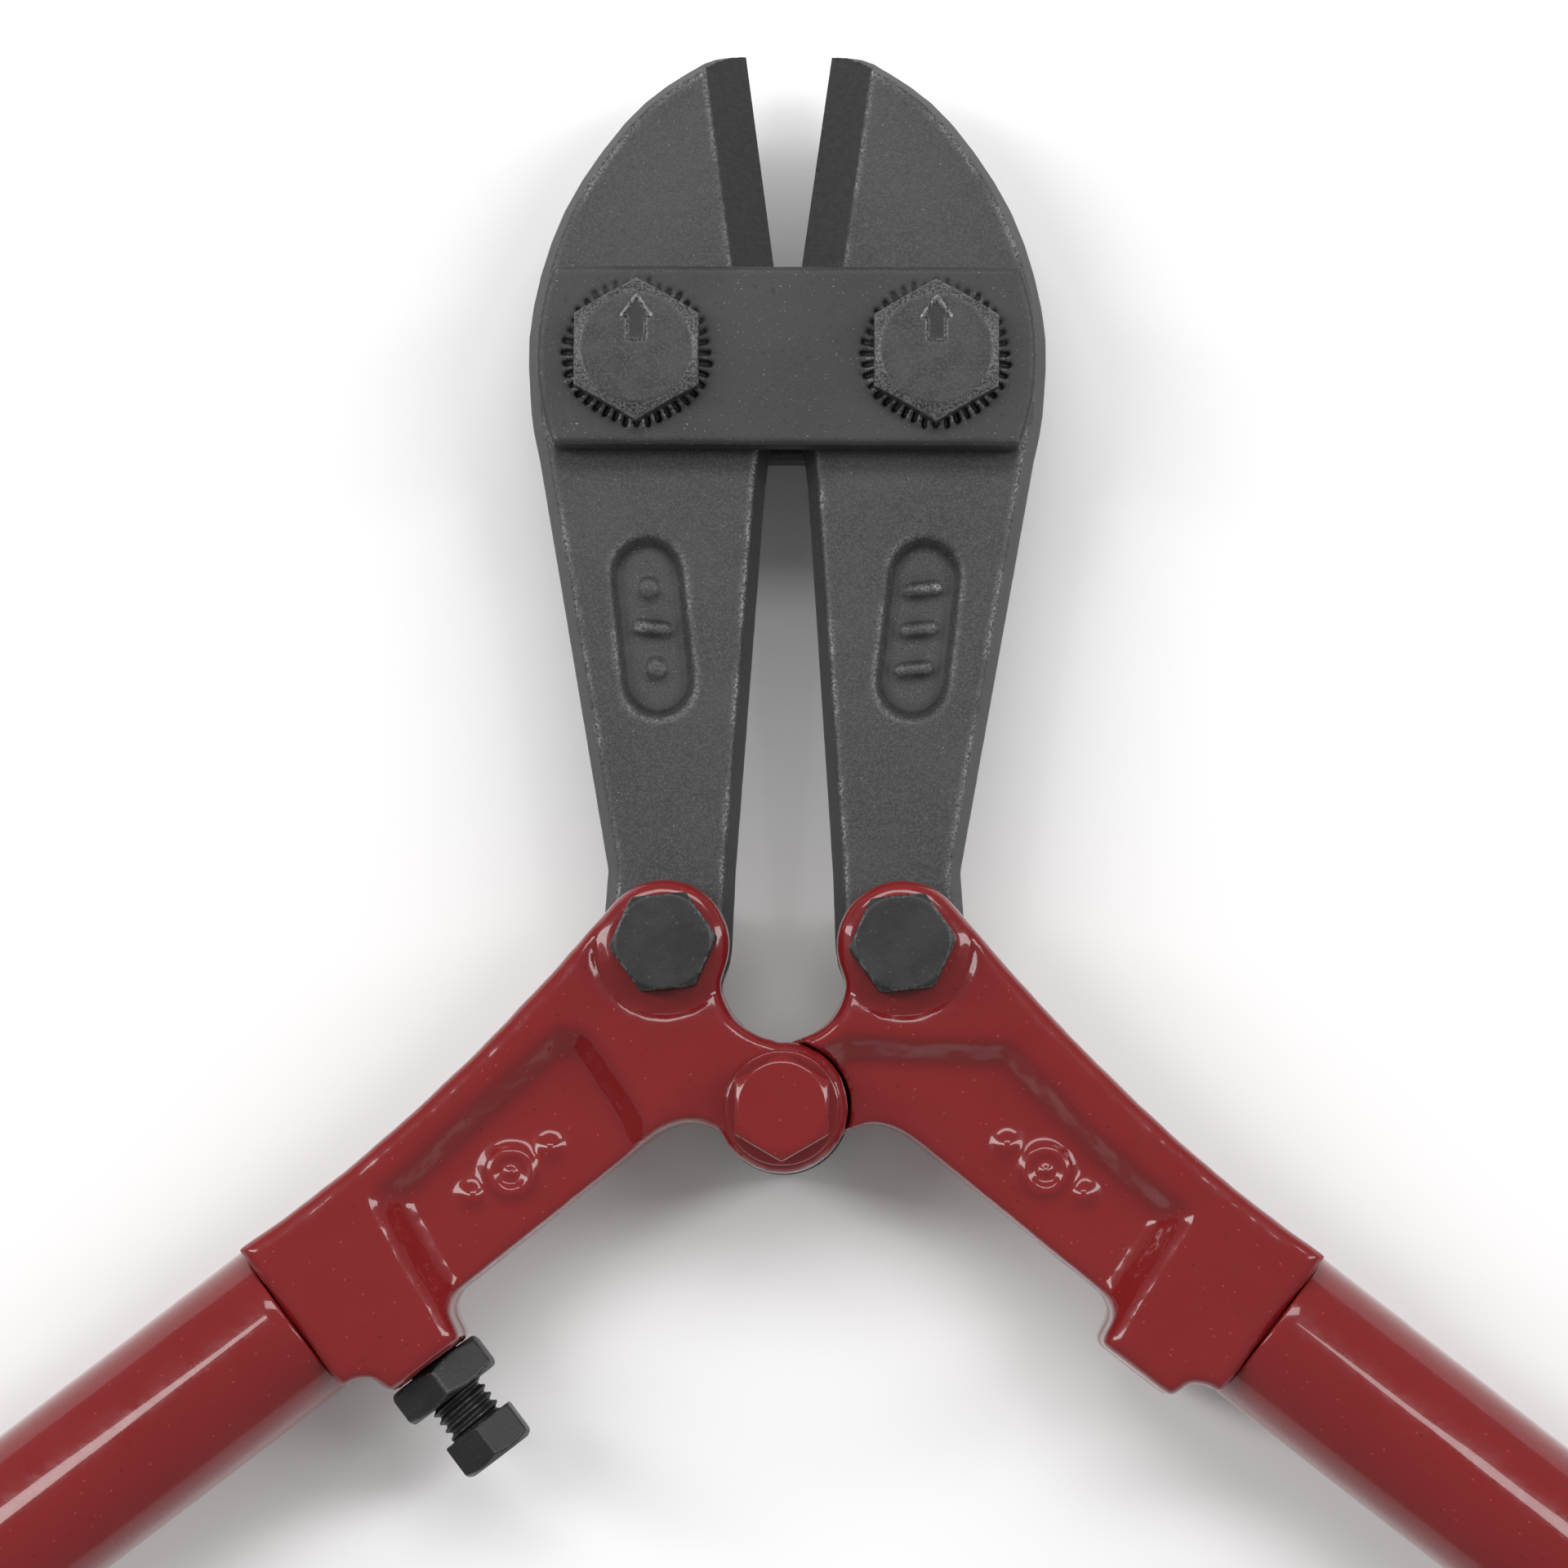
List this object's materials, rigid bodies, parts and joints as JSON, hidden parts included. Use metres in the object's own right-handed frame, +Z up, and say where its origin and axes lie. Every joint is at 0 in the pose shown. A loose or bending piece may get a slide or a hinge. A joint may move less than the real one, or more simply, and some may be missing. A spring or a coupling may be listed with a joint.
{
  "type": "bolt cutters",
  "caption": "Centre-cut bolt cutters with forged jaws, cast brackets, tubular handles and rubber grips.",
  "frame": {"origin": "on the centre pivot's axis, in the plane that the tool lies on", "axes": "+Z up along the pivots, +Y towards the blade tips, +X to the right"},
  "size_m": [0.5782, 0.3434, 0.035],
  "materials": {
    "forging": "matt grey-black phosphated steel forging, with blades ground bright along their edges",
    "side_plate": "matt grey-black phosphated steel plate",
    "black_oxide": "black oxide steel, lightly oiled",
    "red_paint": "thick glossy deep red paint on steel",
    "grip_rubber": "matt black ribbed rubber"
  },
  "bodies": {
    "head": {"front_side_plate": "side_plate", "rear_side_plate": "side_plate", "left_jaw_bolt": "black_oxide", "right_jaw_bolt": "black_oxide", "left_jaw_nut": "black_oxide", "right_jaw_nut": "black_oxide", "left_jaw_washer": "black_oxide", "right_jaw_washer": "black_oxide"},
    "left_jaw": {"left_jaw": "forging"},
    "right_jaw": {"right_jaw": "forging"},
    "left_handle": {"left_bracket": "red_paint", "left_tube": "red_paint", "left_grip": "grip_rubber", "left_tail_bolt": "black_oxide", "left_tail_nut": "black_oxide", "centre_pivot_bolt": "red_paint", "centre_pivot_washer": "red_paint", "centre_rear_washer": "black_oxide", "centre_pivot_nut": "black_oxide", "stop_lock_nut": "black_oxide"},
    "right_handle": {"right_bracket": "red_paint", "right_tube": "red_paint", "right_grip": "grip_rubber", "right_tail_bolt": "black_oxide", "right_tail_nut": "black_oxide"},
    "stop_screw": {"stop_screw": "black_oxide"}
  },
  "joints": [
    {"name": "centre_pivot", "type": "hinge", "parent": "left_handle", "child": "right_handle", "pos_m": [0, 0, 0.0175], "axis": [0, 0, -1], "range_deg": [0, 90.6]},
    {"name": "left_jaw_pivot", "type": "hinge", "parent": "head", "child": "left_jaw", "pos_m": [-0.0192, 0.09617, 0.0175], "axis": [0, 0, -1], "range_deg": [0, 7.8]},
    {"name": "left_tail_pivot", "type": "hinge", "parent": "left_jaw", "child": "left_handle", "pos_m": [-0.01516, 0.02077, 0.0175], "axis": [0, 0, 1], "range_deg": [0, 53.1]},
    {"name": "right_tail_pivot", "type": "hinge", "parent": "right_handle", "child": "right_jaw", "pos_m": [0.01516, 0.02077, 0.0175], "axis": [0, 0, 1], "range_deg": [0, 53.1]},
    {"name": "stop_screw_travel", "type": "slide", "parent": "left_handle", "child": "stop_screw", "axis": [-0.6094, 0.7929, 0], "range_m": [0, 0.004]}
  ],
  "couplings": [
    {"joint": "left_jaw_pivot", "follows": "centre_pivot", "ratio": 0.086092},
    {"joint": "left_tail_pivot", "follows": "centre_pivot", "ratio": 0.58609},
    {"joint": "right_tail_pivot", "follows": "centre_pivot", "ratio": 0.58609}
  ]
}
